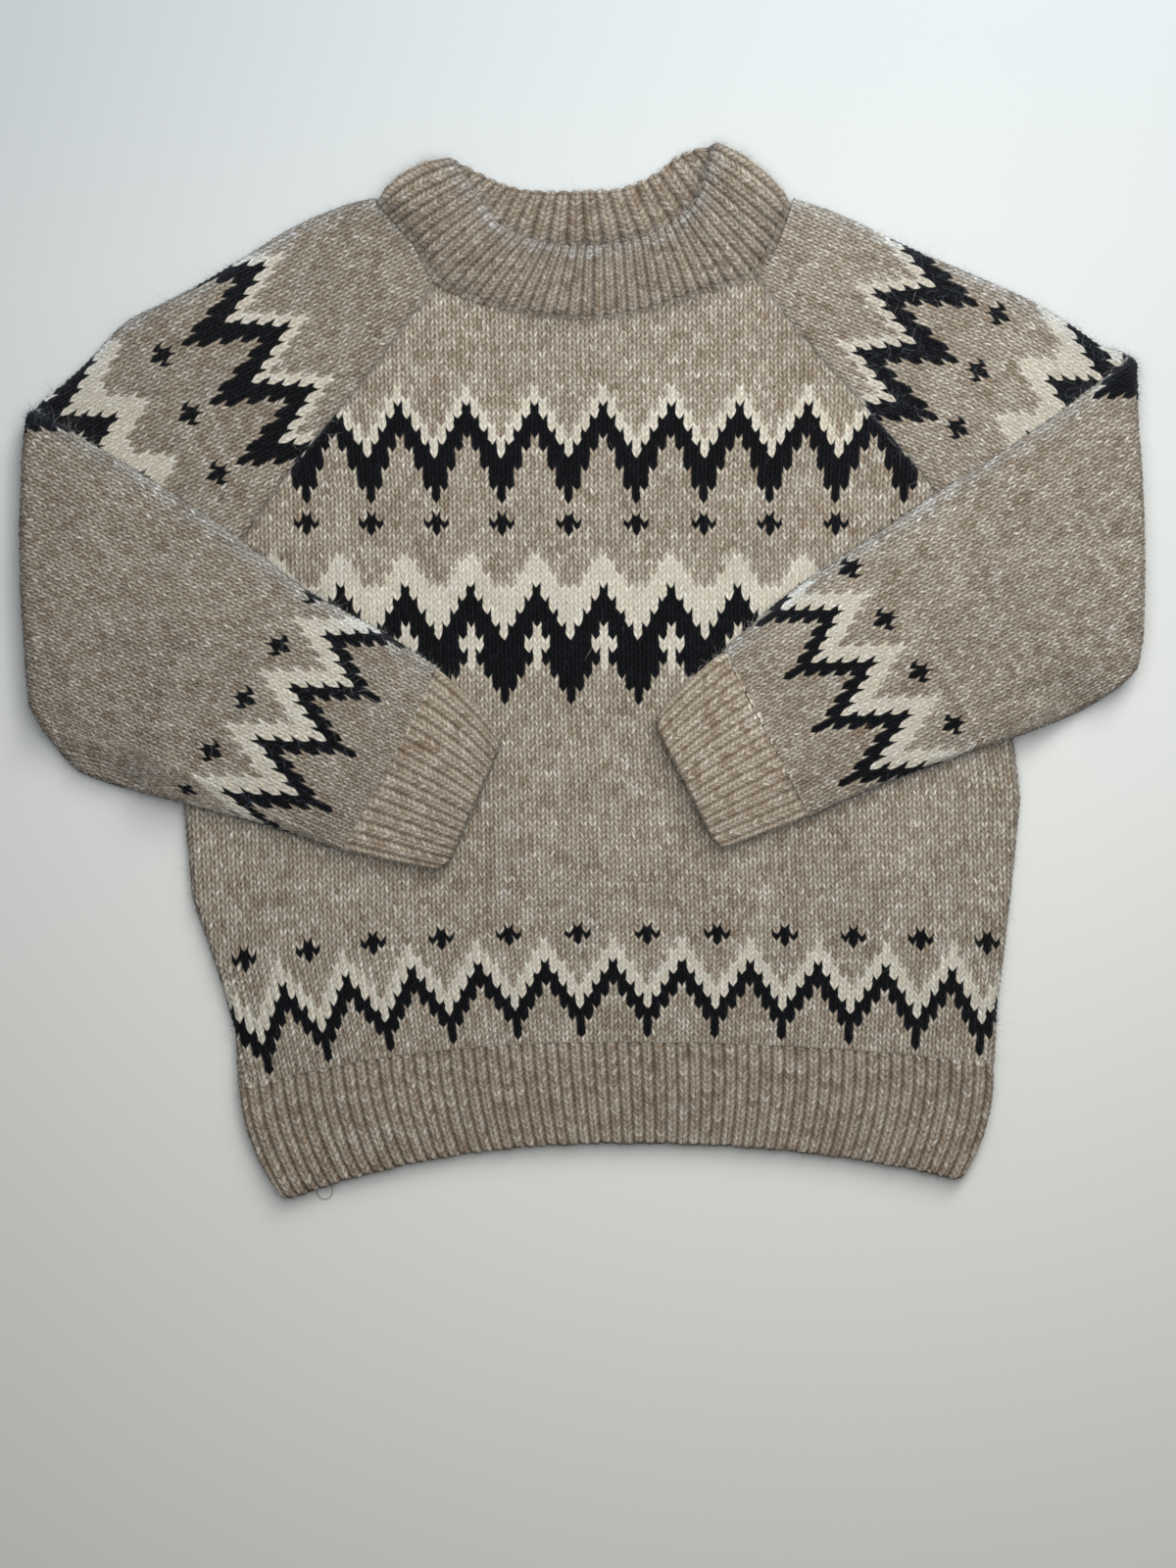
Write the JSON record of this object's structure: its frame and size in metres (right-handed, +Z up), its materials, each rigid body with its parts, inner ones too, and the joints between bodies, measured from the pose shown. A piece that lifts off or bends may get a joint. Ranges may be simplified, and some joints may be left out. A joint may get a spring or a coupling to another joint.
{
  "type": "fair isle jumper",
  "caption": "Knitted raglan jumper with fair isle bands and a doubled rib neckband, laid flat on its back with both sleeves folded over the front.",
  "frame": {"origin": "middle of the bounding box in plan, on the floor that the jumper lies on", "axes": "+Z up off the floor, +Y from the hem to the neck, +X towards the sleeve of the wearer's left arm"},
  "size_m": [0.5218, 0.491, 0.0177],
  "materials": {
    "fair_isle_knit": "matt, heathered stocking stitch with cream and near-black bands",
    "rib_knit": "matt, heathered 1x1 rib"
  },
  "bodies": {
    "root": {"back": "fair_isle_knit", "front": "fair_isle_knit", "sleeve_right": "fair_isle_knit", "sleeve_left": "fair_isle_knit", "hem_rib_back": "rib_knit", "hem_rib_front": "rib_knit", "cuff_right": "rib_knit", "cuff_left": "rib_knit", "neckband": "rib_knit"}
  },
  "joints": []
}
